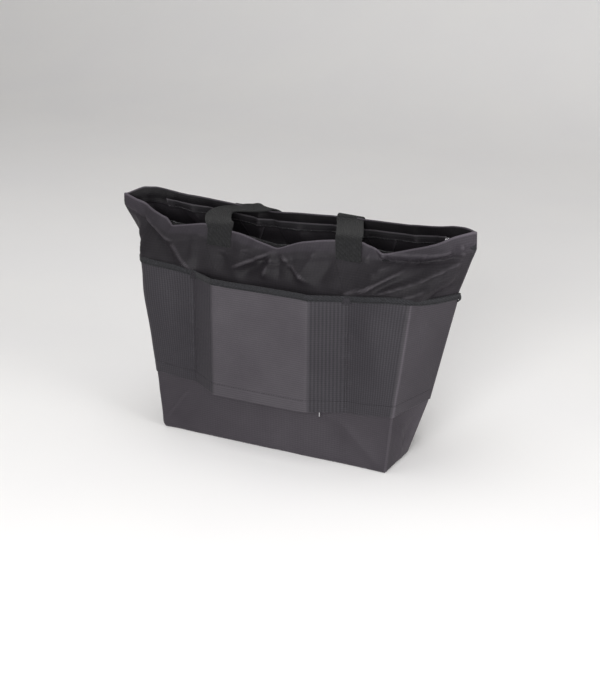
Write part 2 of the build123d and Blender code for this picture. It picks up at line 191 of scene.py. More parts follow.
# folds: start across, start up, end across, end up, width, height, crest power
rearFolds = [
    (-240, 316, -160, 284, 7, 7.5, 1.0), (-170, 290, -122, 252, 6, 8.0, 0.95),
    (-246, 300, -200, 294, 13, -5.0, 2), (-208, 300, -152, 262, 8, -7.0, 1.5),
    (-270, 290, -200, 262, 15, 4.0, 1.5), (-262, 276, -214, 262, 8, -3.0, 1.5),
    (-160, 306, -100, 300, 6, 3.0, 1.2),
    (-136, 300, -124, 262, 7, 2.4, 1.2), (-196, 318, -176, 304, 6, -4.0, 1.4),
    (8, 298, -66, 264, 5, 8.0, 0.95), (2, 290, -52, 254, 11, -7.0, 1.8), (-20, 300, -66, 284, 6, 3.0, 1.1),
    (6, 296, 62, 260, 6, 7.0, 1.0), (0, 292, -12, 258, 6, 5.5, 1.0), (24, 296, 40, 258, 8, -4.0, 1.5),
    (10, 292, 14, 258, 6, -2.6, 1.4), (64, 306, 44, 262, 8, 3.2, 1.2),
    (-72, 308, -48, 294, 5, 2.4, 1.2), (-76, 300, -52, 288, 5, -2.2, 1.3),
    (-66, 296, -46, 280, 5, 2.0, 1.2),
    (-92, 296, -72, 258, 10, -4.5, 1.7),
    (292, 304, 232, 289, 8, 7.0, 1.1), (250, 294, 158, 258, 6, 10.0, 0.95),
    (290, 292, 232, 276, 8, 4.0, 1.1),
    (206, 300, 134, 257, 5, 8.5, 0.95), (146, 268, 108, 250, 6, 4.0, 1.1),
    (184, 302, 146, 280, 5, 3.5, 1.1),
    (238, 297, 152, 260, 8, -6.5, 1.5), (196, 296, 150, 272, 5, -4.0, 1.3),
    (136, 297, 236, 299, 5, -11.0, 1.4), (220, 299, 292, 309, 5, -8.0, 1.4),
    (140, 307, 286, 315, 5, 3.5, 1.5),
    (286, 284, 210, 260, 11, 5.0, 1.3), (300, 270, 240, 256, 9, -4.5, 1.5),
    (230, 272, 196, 258, 6, 3.5, 1.1),
    (134, 316, 160, 296, 5, -4.5, 1.2), (160, 306, 150, 296, 5, 3.5, 1.2),
    (142, 314, 136, 298, 4, 2.5, 1.1),
    (272, 330, 288, 304, 7, 3.5, 1.2), (262, 326, 270, 306, 6, -3.0, 1.3), (96, 298, 70, 258, 9, -4.0, 1.5),
    (-188, 0, -128, 78, 6, 2.8, 1.1), (-172, 0, -112, 60, 14, -2.0, 2), (96, 80, 180, 2, 11, 2.4, 1.4),
    (60, 84, 120, 12, 18, -2.0, 2), (-40, 84, -70, 10, 22, 1.6, 2), (200, 84, 226, 10, 9, 3.0, 1.2),
    (258, 86, 214, 20, 10, -2.5, 1.4), (-250, 84, -212, 10, 12, 2.4, 1.4),
]
frontFolds = [
    (-214, 326, -196, 250, 9, 6.0, 1.4), (-190, 318, -172, 240, 8, -5.5, 1.5),
    (-168, 320, -150, 262, 8, 5.0, 1.4),
    (-140, 318, -150, 230, 12, -5.0, 1.6), (-84, 316, -96, 250, 9, -6.0, 1.3),
    (-70, 316, -52, 244, 10, 5.5, 1.4),
    (-24, 314, -10, 220, 14, -5.0, 1.7), (28, 316, 40, 214, 13, 5.0, 1.6),
    (92, 318, 76, 240, 10, -5.0, 1.5),
    (124, 318, 150, 236, 11, 5.5, 1.4), (168, 320, 176, 250, 9, -5.0, 1.5),
    (206, 328, 214, 240, 12, 5.0, 1.6),
    (262, 330, 236, 270, 10, -4.5, 1.5), (-262, 330, -236, 262, 11, 5.0, 1.5),
    (-248, 300, -262, 210, 14, -4.0, 1.8),
    (-150, 200, -60, 60, 26, 4.0, 1.9), (40, 210, 150, 50, 26, 4.5, 1.9), (-20, 160, 60, 20, 22, -4.0, 1.9),
    (-196, 120, -120, 4, 15, 3.2, 1.6), (120, 90, 190, 4, 15, 3.2, 1.6), (250, 220, 214, 90, 16, 4.0, 1.8),
    (-268, 200, -222, 90, 16, 4.0, 1.8), (-110, 280, 10, 246, 16, 3.5, 1.7),
    (30, 290, 180, 262, 16, -3.5, 1.7),
]


foldStrength = {rear: 1.25, front: 1.3}
webbingHold = {                                   # where the sewn webbing holds the cloth flat
    rear: {"places": (-91, 110), "from": 272, "to": 288},
    front: {"places": (-118, 118), "from": 262, "to": 282},
}
holdWidth = 26


def wallField(side, u, z):
    tip, crease, depth = levelAt(z)
    calm = 1 - smoothStep(0.9, 1.0, np.abs(u) / (crease + np.hypot(tip - crease, depth)))
    folds = foldStrength[side] * foldField(rearFolds if side == rear else frontFolds, u, z)
    broad = 3.0 * noiseField(u, z, 95, 3.1 * side + 9, 1.2) + 1.6 * noiseField(u, z, 38, 7.7 * side + 4,
                                                                               1.3)
    upper = smoothStep(236, 290, z)
    # crisp crests, soft hollows
    crumple = 1 - 2.6 * np.abs(noiseField(u + 0.35 * z, z, 40, 6.1 * side + 2, 1.1))
    small = 1 - 2.6 * np.abs(noiseField(u - 0.5 * z, z, 17, 4.9 * side + 3, 1.2))
    fine = 0.4 * noiseField(u, z, 12, 2.3 * side + 1, 1.4) + upper * (0.75 * crumple + 0.3 * small)
    if side == rear:
        hidden = smoothStep(58, 76, z) * (1 - smoothStep(236, 256, z))   # lies flat under the band
        strength = (0.35 + 0.65 * upper) * (1 - 0.85 * hidden)
        folds = folds * (1 - 0.85 * hidden)
    else:
        strength = 0.75 + 0.25 * upper
    hold = webbingHold[side]
    sewn = sum(np.exp(-((u - at) / holdWidth) ** 4) for at in hold["places"])
    sewn = sewn * smoothStep(hold["from"], hold["to"], z)
    field = (folds + (broad + fine) * strength) * (0.12 + 0.88 * calm) * (1 - 0.93 * sewn)
    if side == front:                             # nor does the doubled cloth over the pocket sink in
        doubled = (1 - smoothStep(94, 122, np.abs(u))) * smoothStep(88, 106,
                                                                    z) * (1 - smoothStep(242, 262, z))
        field = np.where(field < 0, field * (1 - 0.94 * doubled), field * (1 - 0.3 * doubled))
    return field


def footTuck(x, y, z):                        # the front lower corners sag inwards
    return np.sign(x) * 34 * np.clip(y / 75, 0, 1) * smoothStep(60, 180,
                                                                np.abs(x)) * (1 - smoothStep(0, 92, z))


normalStep = 0.004


def contourNormal(t, z):
    x, y = contour(t, z)
    ahead, behind = contour(t + normalStep, z), contour(t - normalStep, z)
    dx, dy = ahead[0] - behind[0], ahead[1] - behind[1]
    size = np.hypot(dx, dy)
    return x, y, -dy / size, dx / size


def wallPoint(t, z, side, lift=0.0):
    t, z, lift = np.broadcast_arrays(*(np.asarray(value, float) for value in (t, z, lift)))
    x, y, nx, ny = contourNormal(t, z)
    u = unfolded(t, z)
    seam = np.abs(z - (rimHeight(side, u) - bagShape["hemDepth"]))
    groove = -1.7 * np.exp(-(seam / 2.0) ** 2) + 0.9 * np.exp(-((seam - 6.5) / 4.0) ** 2)
    foot = -2.2 * np.clip(1 - z / 5.0, 0, 1) ** 2
    foot = foot + 0.7 * np.exp(-(np.abs(np.abs(u) - levelAt(z)[1]) / 2.0) ** 2) * (1 - smoothStep(70,
                                                                                                  250,
                                                                                                  z) * 0.6)
    away = wallField(side, u, z) + groove * (1 - smoothStep(0.985, 1.0, np.abs(t))) + foot + lift
    drawn = smoothStep(bagShape["mouthFrom"], bagShape["mouthTo"], z)
    tipY = np.where(x < 0, *bagShape["tipLean"])
    middle = -bagShape["rearRimDepth"] if side == rear else bagShape["frontRimDepth"]
    reach = np.clip(np.abs(x) / contour(np.ones_like(z), z)[0], 0, 1)
    mouth = tipY + (middle - tipY) * (1 - reach ** bagShape["mouthPower"][side])
    plan = side * y * (1 - drawn) + mouth * drawn
    x = x - footTuck(x, plan, z)
    return np.stack([x + nx * away, plan + side * ny * away, z], -1)


def rimHeight(side, u):
    table = np.array(bagShape["rearRim"] if side == rear else bagShape["frontRim"], float)
    fine = np.linspace(-300, 300, 241)
    line = np.interp(fine, table[:, 0], table[:, 1])
    line = np.convolve(np.pad(line, 2, "edge"), [0.15, 0.22, 0.26, 0.22, 0.15], "valid")
    return np.interp(u, fine, line)


def gridMesh(name, points, uv=None, thickness=0.0, closed=False):
    points = np.asarray(points, float)
    rows, cols = points.shape[:2]
    index = np.arange(rows * cols).reshape(rows, cols)
    if closed:
        index = np.concatenate([index, index[:, :1]], 1)
    quads = np.stack([index[:-1, :-1], index[:-1, 1:], index[1:, 1:], index[1:, :-1]], -1).reshape(-1, 4)
    mesh = bpy.data.meshes.new(name)
    mesh.from_pydata((points.reshape(-1, 3) * mm).tolist(), [], quads.tolist())
    if uv is not None:
        layer = mesh.uv_layers.new(name="cloth")
        loops = np.zeros(len(mesh.loops), int)
        mesh.loops.foreach_get("vertex_index", loops)
        flat = (np.asarray(uv, float).reshape(-1, 2) * mm)[loops]
        layer.data.foreach_set("uv", flat.ravel())
    mesh.polygons.foreach_set("use_smooth", [True] * len(mesh.polygons))
    piece = bpy.data.objects.new(name, mesh)
    bpy.context.scene.collection.objects.link(piece)
    if thickness:
        solid = piece.modifiers.new("thickness", "SOLIDIFY")
        solid.thickness = thickness * mm
        solid.offset = 0
    return piece


def tubesMesh(name, paths, radius, sides=6, taper=True):
    verts, faces = [], []
    ring = np.linspace(0, 2 * math.pi, sides, endpoint=False)
    for path in paths:
        path = np.asarray(path, float)
        tangent = np.gradient(path, axis=0)
        tangent /= np.linalg.norm(tangent, axis=1)[:, None] + 1e-12
        helper = np.where(np.abs(tangent[:, 2:3]) > 0.9, [[1.0, 0, 0]], [[0, 0, 1.0]])
        sideways = np.cross(tangent, helper)
        sideways /= np.linalg.norm(sideways, axis=1)[:, None]
        upward = np.cross(sideways, tangent)
        size = np.full(len(path), radius)
        if taper:
            size[0] = size[-1] = radius * 0.45
        circle = (np.cos(ring)[None, :, None] * sideways[:, None] + np.sin(ring)[None, :,
                                                                                 None] * upward[:, None])
        points = path[:, None] + circle * size[:, None, None]
        start = len(verts)
        verts.extend(points.reshape(-1, 3).tolist())
        count = len(path)
        for i in range(count - 1):
            for j in range(sides):
                k = (j + 1) % sides
                faces.append((start + i * sides + j, start + i * sides + k,
                              start + (i + 1) * sides + k, start + (i + 1) * sides + j))
        faces.append(tuple(start + j for j in range(sides))[::-1])
        faces.append(tuple(start + (count - 1) * sides + j for j in range(sides)))
    mesh = bpy.data.meshes.new(name)
    mesh.from_pydata((np.array(verts) * mm).tolist(), [], faces)
    mesh.polygons.foreach_set("use_smooth", [True] * len(mesh.polygons))
    piece = bpy.data.objects.new(name, mesh)
    bpy.context.scene.collection.objects.link(piece)
    return piece


def runAlong(path):
    return np.concatenate([[0], np.cumsum(np.linalg.norm(np.diff(path, axis=0), axis=1))])


def pointsAt(marks, run, path):
    return np.stack([np.interp(marks, run, path[:, k]) for k in range(3)], -1)


def resample(path, step):
    path = np.asarray(path, float)
    run = runAlong(path)
    count = max(2, int(run[-1] / step) + 1)
    marks = np.linspace(0, run[-1], count)
    return pointsAt(marks, run, path)


threadStitch = {"length": 2.9, "gap": 0.9, "radius": 0.27, "proud": 0.15}


def stitches(path):
    dense = resample(path, 0.35)
    run = runAlong(dense)
    pieces = []
    place = 0.0
    while place + threadStitch["length"] < run[-1]:
        marks = np.linspace(place, place + threadStitch["length"], 4)
        pieces.append(pointsAt(marks, run, dense))
        place += threadStitch["length"] + threadStitch["gap"]
    return pieces


def wallLine(side, ends, lift, count=60, surface=None):
    (u0, z0), (u1, z1) = ends
    u, z = np.linspace(u0, u1, count), np.linspace(z0, z1, count)
    return (surface or wallPoint)(tOf(u, z), z, side, lift)


# each wall is the outer cloth, turned over at the rim, with the facing inside
wallGrid = {"columns": 288, "rows": 138, "facingRows": 12}


def makeWall(name, side):
    t = np.linspace(-1, 1, wallGrid["columns"])
    top = rimHeight(side, unfolded(t, 330.0))
    lifts, heights, runs = [], [], []
    for share in np.linspace(0, 1, wallGrid["rows"]):
        heights.append(share * top)
        lifts.append(np.zeros_like(t))
        runs.append(share * top)
    turn = bagShape["foldRadius"]
    for angle in np.linspace(0, math.pi, 7)[1:]:
        heights.append(top + turn * math.sin(angle))
        lifts.append(np.full_like(t, -turn + turn * math.cos(angle)))
        runs.append(top + turn * angle)
    for drop in np.linspace(0, bagShape["facingDepth"], wallGrid["facingRows"])[1:]:
        heights.append(top - drop)
        lifts.append(np.full_like(t, -2 * turn - 0.5 * math.sin(drop / bagShape["facingDepth"] * math.pi)))
        runs.append(top + turn * math.pi + drop)
    z = np.array(heights)
    tt = np.broadcast_to(t, z.shape)
    points = wallPoint(tt, z, side, np.array(lifts))
    inside = np.clip(np.array(lifts) * -1, 0, 3)
    points[..., 0] -= np.sign(tt) * inside * smoothStep(0.96, 1.0, np.abs(tt)) * 1.2
    runs = np.array(runs)
    past = np.maximum(runs - top, 0)
    uv = clothUv(unfolded(tt, z), np.where(past > 0, top, z), top, past)
    return gridMesh(name, points, uv, bagShape["cloth"])


print("walls")
rearWall = makeWall("rearWall", rear)
frontWall = makeWall("frontWall", front)

baseShape = {"columns": 90, "rows": 40, "thickness": 1.6, "wave": 1.4, "inset": 1.8, "rest": 1.4,
             "halfWidth": 181, "halfDepth": 75, "ease": 14}


def makeBase():
    x = np.linspace(-1, 1, baseShape["columns"])[None, :] * (baseHigh.x / mm - baseShape["inset"])
    y = np.linspace(-1, 1, baseShape["rows"])[:, None] * (baseHigh.y / mm - baseShape["inset"])
    x, y = np.broadcast_arrays(x, y)
    edge = np.minimum(baseShape["halfWidth"] - np.abs(x),
                      baseShape["halfDepth"] - np.abs(y)) / baseShape["ease"]
    edge = np.minimum(1, edge)
    x = x - footTuck(x, y, np.zeros_like(x))
    z = baseShape["rest"] + baseShape["wave"] * np.clip(edge, 0, 1) * (0.8 + noiseField(x, y, 70, 12.0))
    return gridMesh("baseCloth", np.stack([x, y, z], -1), np.stack([x, y], -1), baseShape["thickness"])


baseCloth = makeBase()


# the sleeve for the tubes is in the middle of the band, with a slip pocket each side
bandShape = {
    "gap": 2.2, "thickness": 1.3, "depth": (abs(bandLow.y) / mm) - 75.0 - 1.5,
    "foot": 122.0, "crease": 75.0, "columns": 300, "rows": 84,
    "top": [(-300, 258), (-207, 260), (-151, 257), (-120, 252), (-72, 255), (-47, 254), (35, 254),
            (63, 254),
            (89, 252), (120, 250), (146, 253), (182, 258), (209, 259), (235, 254), (262, 252), (300, 252)],
    "bottom": [(-272, 92), (-184, 89), (-134, 85), (-76, 84.5), (60, 84.5), (78, 86), (100, 84), (116, 83),
               (142, 83), (191, 88), (200, 89), (225, 91), (272, 93)],
}
bandFolds = [
    (-122, 250, -122, 90, 3.0, -1.6, 1.6), (121, 246, 118, 88, 3.0, -1.4, 1.6),
    (-134, 180, -118, 168, 4, 1.3, 1.4), (-130, 150, -116, 140, 4, 1.4, 1.4),
    (-132, 128, -117, 122, 3.5, 1.3, 1.4),
    (-133, 208, -119, 200, 4, 1.1, 1.4), (-128, 106, -112, 98, 4, 1.4, 1.4),
    (-112, 170, -100, 160, 5, 1.0, 1.5),
    (112, 190, 130, 196, 4, 1.0, 1.4), (110, 160, 128, 168, 4, 1.1, 1.4), (112, 120, 130, 126, 4, 1.0, 1.4),
    (-200, 235, -150, 120, 22, 2.4, 2), (-168, 240, -140, 200, 14, -1.6, 2),
    (150, 238, 176, 120, 20, 2.4, 2),
    (-30, 240, 10, 110, 30, 1.2, 2), (230, 240, 246, 120, 18, 2.6, 2), (214, 250, 232, 200, 10, -1.8, 1.7),
    (-250, 230, -232, 120, 18, 2.4, 2), (-190, 140, -140, 92, 12, 1.4, 1.6),
    (205, 230, 222, 246, 8, 1.6, 1.5),
]


def bandEdge(which, u):
    table = np.array(bandShape[which], float)
    fine = np.linspace(-310, 310, 249)
    line = np.interp(fine, table[:, 0], table[:, 1])
    line = np.convolve(np.pad(line, 3, "edge"), np.ones(7) / 7, "valid")
    return np.interp(u, fine, line)


def bandPoint(t, z, side=rear, lift=0.0):
    t, z, lift = np.broadcast_arrays(*(np.asarray(value, float) for value in (t, z, lift)))
    x, y, nx, ny = contourNormal(t, z)
    u = unfolded(t, z)
    slope = (bandShape["foot"] - np.abs(u)) / (bandShape["foot"] - bandShape["crease"])
    rise = 0
    for step in np.linspace(-0.1, 0.1, 7):                # eased where the cloth turns over a tube
        rise = rise + np.clip(slope + step, 0, 1) / 7
    sag = 1.5 * np.cos(np.clip(u / 75, -1, 1) * math.pi / 2) * smoothStep(90, 170, z)
    out = rise * bandShape["depth"] - sag * rise
    sideways = np.clip((np.abs(u) - 122) / 90, 0, 1)
    slack = 3.2 * np.sin(sideways * math.pi) * smoothStep(120, 255, z)
    ease = 1 - smoothStep(0.94, 1.0, np.abs(t))
    own = foldField(bandFolds, u, z) + 0.8 * noiseField(u, z, 55, 5.5) + 0.16 * noiseField(u, z, 13, 8.5)
    hem = np.abs(z - bandEdge("bottom", u) - 16)
    own = own - 0.35 * np.exp(-(hem / 1.6) ** 2)
    own = own + 0.5 * np.exp(-(np.abs(np.abs(u) - levelAt(z)[1]) / 2.0) ** 2)
    away = bandShape["gap"] + lift + (slack + own) * ease
    return np.stack([x + nx * away, side * (y + ny * away + out), z], -1)


def makeBand():
    t = np.linspace(-0.998, 0.998, bandShape["columns"])
    low, high = bandEdge("bottom", unfolded(t, 88.0)), bandEdge("top", unfolded(t, 256.0))
    rows = np.linspace(0, 1, bandShape["rows"])[:, None]
    z = low + rows * (high - low)
    lifts = np.zeros_like(z)
    turned, insideZ = [], []
    for angle in np.linspace(0, math.pi, 5)[1:]:           # hem turned up behind the lower edge
        turned.append(np.full_like(t, -1.0 + math.cos(angle)))
        insideZ.append(low - math.sin(angle) * 1.0)
    for rise in (4.0, 8.0, 12.0, 16.0):
        turned.append(np.full_like(t, -2.0))
        insideZ.append(low + rise)
    z = np.concatenate([np.array(insideZ)[::-1], z])
    lifts = np.concatenate([np.array(turned)[::-1], lifts])
    tt = np.broadcast_to(t, z.shape)
    points = bandPoint(tt, z, rear, lifts * 0.9)
    u = unfolded(tt, z)
    return gridMesh("trolleyBand", points, clothUv(u, z), bandShape["thickness"])


print("band")
trolleyBand = makeBand()

bindingShape = {"height": 6.8, "wall": 0.8, "rib": 0.16, "pitch": 1.9, "columns": 360}


def makeBinding():
    t = np.linspace(-0.999, 0.999, bindingShape["columns"])
    top = bandEdge("top", unfolded(t, 256.0))
    section = []
    down = np.linspace(-bindingShape["height"], 0.4, 24)
    for d in down:
        section.append((1.35 + bindingShape["rib"] * math.cos(2 * math.pi * d / bindingShape["pitch"]), d))
    for angle in np.linspace(0, math.pi, 8)[1:-1]:
        section.append((1.35 * math.cos(angle), 0.4 + 1.2 * math.sin(angle)))
    for d in down[::-1][::3]:
        section.append((-1.35, d))
    rows = []
    for lift, d in section:
        rows.append(bandPoint(t, top + d, rear, lift))
    uv = np.stack(np.broadcast_arrays(unfolded(t, 256.0)[None], np.arange(len(section))[:, None] * 0.5), -1)
    return gridMesh("bandBinding", np.array(rows), uv, bindingShape["wall"])


bandBinding = makeBinding()


seamShape = {"low": 3, "high": 328, "rows": 90, "reach": 11.5, "thickness": 0.7}


def makeSideSeams():
    rows = []
    z = np.linspace(seamShape["low"], seamShape["high"], seamShape["rows"])
    for sign in (-1, 1):
        tip = levelAt(z)[0]
        inner = seamShape["reach"] + 0.8 * np.sin(z / 23.0)
        wave = 1.3 * np.sin(z / 31.0 + sign)
        section = [(1.5, -1.1), (inner - 1, -1.15), (inner, -0.6), (inner, 0.6), (inner - 1, 1.15),
                   (1.5, 1.1)]
        ring = []
        for reach, across in section:
            reach = np.broadcast_to(reach, z.shape)
            bend = wave * np.clip(reach / 11, 0, 1) ** 2
            lean = bagShape["tipLean"][(sign + 1) // 2] * smoothStep(bagShape["mouthFrom"],
                                                                     bagShape["mouthTo"], z)
            ring.append(np.stack([sign * (tip - reach), across + bend + lean, z], -1))
        rows.append(np.array(ring).transpose(1, 0, 2))
    pieces = []
    for sign, grid in zip(("Left", "Right"), rows):
        uv = np.stack(np.broadcast_arrays(np.arange(6)[None] * 3.0, z[:, None]), -1)
        pieces.append(gridMesh("sideSeam" + sign, grid, uv, seamShape["thickness"]))
    return pieces


sideSeamLeft, sideSeamRight = makeSideSeams()


tabShape = {"heights": (259.0, 246.0), "halfWidth": 3.4, "halfHeight": 4.4, "reach": 3.0, "thickness": 0.9}


def makeBindingTabs():
    pieces = []
    for name, sign, z0 in zip(("Left", "Right"), (-1, 1), tabShape["heights"]):
        tip = float(levelAt(z0)[0])
        rows = []
        for angle in np.linspace(-1.1, math.pi + 1.1, 18):
            ring = []
            for across in np.linspace(-1, 1, 7):
                reach = 1.2 + tabShape["reach"] * math.sin(angle)
                y = across * tabShape["halfWidth"] + 0.3 * math.sin(angle * 3)
                ring.append((sign * (tip + reach), y, z0 + tabShape["halfHeight"] * math.cos(angle)))
            rows.append(ring)
        uv = np.stack(np.broadcast_arrays(np.arange(7)[None] * 1.2, np.arange(18)[:, None] * 0.9), -1)
        pieces.append(gridMesh("bindingTab" + name, rows, uv, tabShape["thickness"]))
    return pieces


bindingTabs = makeBindingTabs()


strapShape = {"width": 38.0, "thickness": 1.9, "rib": 0.13, "pitch": 3.17, "step": 3.0}


def spline(values, count):
    values = np.asarray(values, float)
    padded = np.concatenate([2 * values[:1] - values[1:2], values, 2 * values[-1:] - values[-2:-1]])
    result = []
    marks = np.linspace(0, len(values) - 1, count)
    for mark in marks:
        i = min(int(mark), len(values) - 2)
        f = mark - i
        a, b, c, d = padded[i:i + 4]
        result.append(0.5 * (2 * b + (c - a) * f + (2 * a - 5 * b + 4 * c - d) * f ** 2
                             + (3 * b - a - 3 * c + d) * f ** 3))
    return np.array(result)


def strapFrames(stations):
    places = spline([s[0] for s in stations], 40 * len(stations))
    across = spline([s[1] for s in stations], 40 * len(stations))
    run = runAlong(places)
    count = int(run[-1] / strapShape["step"]) + 2
    marks = np.linspace(0, run[-1], count)
    places = pointsAt(marks, run, places)
    across = pointsAt(marks, run, across)
    tangent = np.gradient(places, axis=0)
    tangent /= np.linalg.norm(tangent, axis=1)[:, None]
    across -= tangent * np.sum(tangent * across, 1)[:, None]
    across /= np.linalg.norm(across, axis=1)[:, None]
    normal = np.cross(tangent, across)
    return places, across, normal, marks


cutEnds = []


def strapMesh(name, stations):
    places, across, normal, marks = strapFrames(stations)
    half, thick = strapShape["width"] / 2, strapShape["thickness"] / 2
    section = []
    for w in np.linspace(-half + 1.0, half - 1.0, 49):
        section.append((w, thick + strapShape["rib"] * math.cos(2 * math.pi * w / strapShape["pitch"])))
    for angle in (60, 20, -20, -60):
        section.append((half - 1.0 + math.cos(math.radians(angle)), thick * math.sin(math.radians(angle))))
    for w in np.linspace(half - 1.0, -half + 1.0, 49):
        section.append((w, -thick - strapShape["rib"] * math.cos(2 * math.pi * w / strapShape["pitch"])))
    for angle in (240, 200, 160, 120):
        section.append((-half + 1.0 + math.cos(math.radians(angle)), thick * math.sin(math.radians(angle))))
    section = np.array(section)
    points = places[:, None] + across[:, None] * section[None, :, :1] + normal[:, None] * section[None,
                                                                                                  :, 1:]
    uv = np.stack(np.broadcast_arrays(section[None, :, 0], marks[:, None]), -1)
    piece = gridMesh(name, points, uv, closed=True)
    rows, cols = points.shape[:2]
    for start, flip in ((0, False), ((rows - 1) * cols, True)):   # close the cut ends
        loop = [start + k for k in range(cols)]
        cutEnds.append((piece, loop if flip else loop[::-1]))
    return piece


def closeEnds():
    for piece, loop in cutEnds:
        work = bmesh.new()
        work.from_mesh(piece.data)
        work.verts.ensure_lookup_table()
        work.faces.new([work.verts[k] for k in loop])
        work.to_mesh(piece.data)
        work.free()


def onWall(side, u, z, lift):
    p = wallPoint(tOf(np.array([u], float), np.array([z], float)), np.array([z], float), side, lift)[0]
    return tuple(p)


flat = (1, 0, 0)
print("handles")
rightLeg = [
    (onWall(rear, 111, 293, -1.0), flat), (onWall(rear, 110.5, 298, 1.9), flat),
    (onWall(rear, 109.5, 306, 2.3), flat),
    (onWall(rear, 108, 314, 2.9), flat), ((105.5, -42.5, 321), flat), ((101, -31, 323.5), (1, 0.3, 0)),
    ((90, -6, 322), (1, 0.45, 0.02)), ((78, 20, 320.5), (1, 0.45, 0.02)), ((69, 40, 321), (1, 0.4, 0)),
    ((64, 49, 323), (1, 0.3, -0.04)), ((62, 56, 325), (1, 0.2, -0.1)),
]
leftLeg = [
    (onWall(rear, -90, 289, -1.0), flat), (onWall(rear, -90, 294, 1.9), flat),
    (onWall(rear, -91, 301, 2.3), flat),
    (onWall(rear, -92, 308, 2.9), flat), ((-95, -44, 315.5), flat), ((-105, -32, 317.5), (1, 0.2, 0)),
    ((-119, -10, 317), (1, 0.3, 0)), ((-127, 8, 318), (1, 0.08, 0)), ((-127, 23, 319.5), (0.93, -0.4, 0)),
    ((-118, 34, 320), (0.6, -0.8, 0)), ((-104, 41, 321), (0.3, -0.95, -0.04)),
    ((-92, 46, 321), (0.4, -0.9, -0.06)), ((-84, 51, 321.5), (0.78, -0.6, -0.06)),
]
loopStations = [
    ((64, 49, 323), (1, 0.3, -0.04)), ((62, 56, 325), (1, 0.2, -0.1)), ((61, 64, 323), (1, 0.05, -0.05)),
    ((62, 71, 313), (1, 0.02, 0)), ((63, 78, 299), (0.93, 0.3, 0)), ((67, 87, 282), (0.6, 0.78, 0)),
    ((69, 95, 262), (0.1, 1, 0)), ((62, 97, 241), (0, 1, 0)), ((38, 97, 226.5), (0, 1, 0)),
    ((-3, 97, 223), (0, 1, 0)), ((-46, 97, 227), (0, 1, 0)), ((-69, 97, 241), (0, 1, 0)),
    ((-76, 95, 262), (0.1, 1, 0)), ((-77, 87, 282), (0.6, 0.78, 0)), ((-75, 78, 297), (0.93, 0.3, 0)),
    ((-73, 70, 311), (1, 0.02, 0)), ((-75, 60, 320), (0.98, -0.25, -0.05)),
    ((-84, 51, 321.5), (0.78, -0.6, -0.06)),
    ((-92, 46, 321), (0.4, -0.9, -0.06)),
]
frontCourse = [
    (118, 70, 316, flat), (118.5, 76, 314.5, flat), (119, 81, 305, flat), (120, 84, 295, (1, 0.25, 0)),
    (120, 90, 278, (0.7, 0.7, 0)), (120, 95, 258, (0.2, 1, 0)), (120, 97, 225, (0, 1, 0)),
    (115, 97, 180, (0, 1, 0)), (94, 97, 133, (0, 1, 0)), (53, 97, 100, (0, 1, 0)),
]


def frontHalf(sign):                          # from the sewn end down to the middle of the loop
    sewn = [(onWall(front, sign * 118, z, lift), flat) for z,
            lift in ((290, -1.2), (296, 1.7), (304, 2.4), (311, 3.6))]
    return sewn + [((sign * x, y, z), across) for x, y, z, across in frontCourse]


frontStations = frontHalf(1) + [((0, 97, 89.5), (0, 1, 0))] + frontHalf(-1)[::-1]
rearStrapRight = strapMesh("rearStrapRight", rightLeg)
rearStrapLeft = strapMesh("rearStrapLeft", leftLeg)
rearLoop = strapMesh("rearLoop", loopStations)
frontStrap = strapMesh("frontStrap", frontStations)
closeEnds()


zipShape = {"coilWide": 1.7, "coilDeep": 0.85, "wire": 0.4, "pitch": 1.7, "turnSteps": 9, "halfGap": 1.7}


def coilPath(path, outward):
    dense = resample(path, 0.5)
    run = runAlong(dense)
    turns = run[-1] / zipShape["pitch"]
    marks = np.linspace(0, run[-1], int(turns * zipShape["turnSteps"]))
    centre = pointsAt(marks, run, dense)
    tangent = np.gradient(centre, axis=0)
    tangent /= np.linalg.norm(tangent, axis=1)[:, None]
    out = np.asarray(outward, float) - tangent * (tangent @ np.asarray(outward, float))[:, None]
    out /= np.linalg.norm(out, axis=1)[:, None]
    across = np.cross(tangent, out)
    angle = marks / zipShape["pitch"] * 2 * math.pi
    return (centre + across * (zipShape["coilWide"] * np.cos(angle))[:, None]
            + out * (zipShape["coilDeep"] * np.sin(angle))[:, None])


def stripMesh(name, edgeA, edgeB, thickness, rows=6, bow=0.0):
    rowsOf = []
    for share in np.linspace(0, 1, rows):
        line = edgeA * (1 - share) + edgeB * share
        line = line + np.array([0, 0, -bow * math.sin(share * math.pi)])
        rowsOf.append(line)
    length = runAlong(edgeA)
    width = np.linalg.norm(edgeB - edgeA, axis=1).mean()
    uv = np.stack(np.broadcast_arrays(length[None], np.linspace(0, width, rows)[:, None]), -1)
    return gridMesh(name, np.array(rowsOf), uv, thickness)


